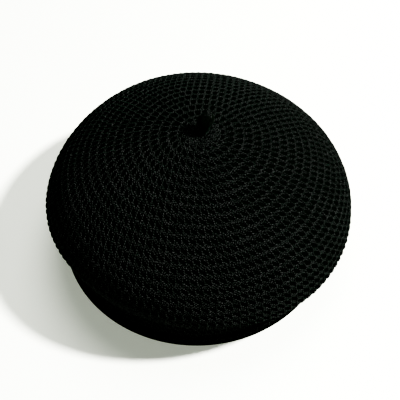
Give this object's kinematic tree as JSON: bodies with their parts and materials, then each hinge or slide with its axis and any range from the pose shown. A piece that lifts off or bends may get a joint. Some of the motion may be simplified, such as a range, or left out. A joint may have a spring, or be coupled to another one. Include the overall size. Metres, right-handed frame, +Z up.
{
  "type": "knit beret",
  "caption": "Puffed knitted beret with a domed crown of concentric rounds, a turned-up headband hem and a small knitted stem on top.",
  "frame": {"origin": "on the surface the hat stands on, under the middle of its widest round", "axes": "+Z up through the stem, -Y towards the wearer's front, +X towards the wearer's left"},
  "size_m": [0.22, 0.22, 0.1238],
  "materials": {
    "black_knit": "matte yarn in relief rounds"
  },
  "bodies": {
    "root": {"crown": "black_knit", "headband": "black_knit", "stem": "black_knit"}
  },
  "joints": []
}
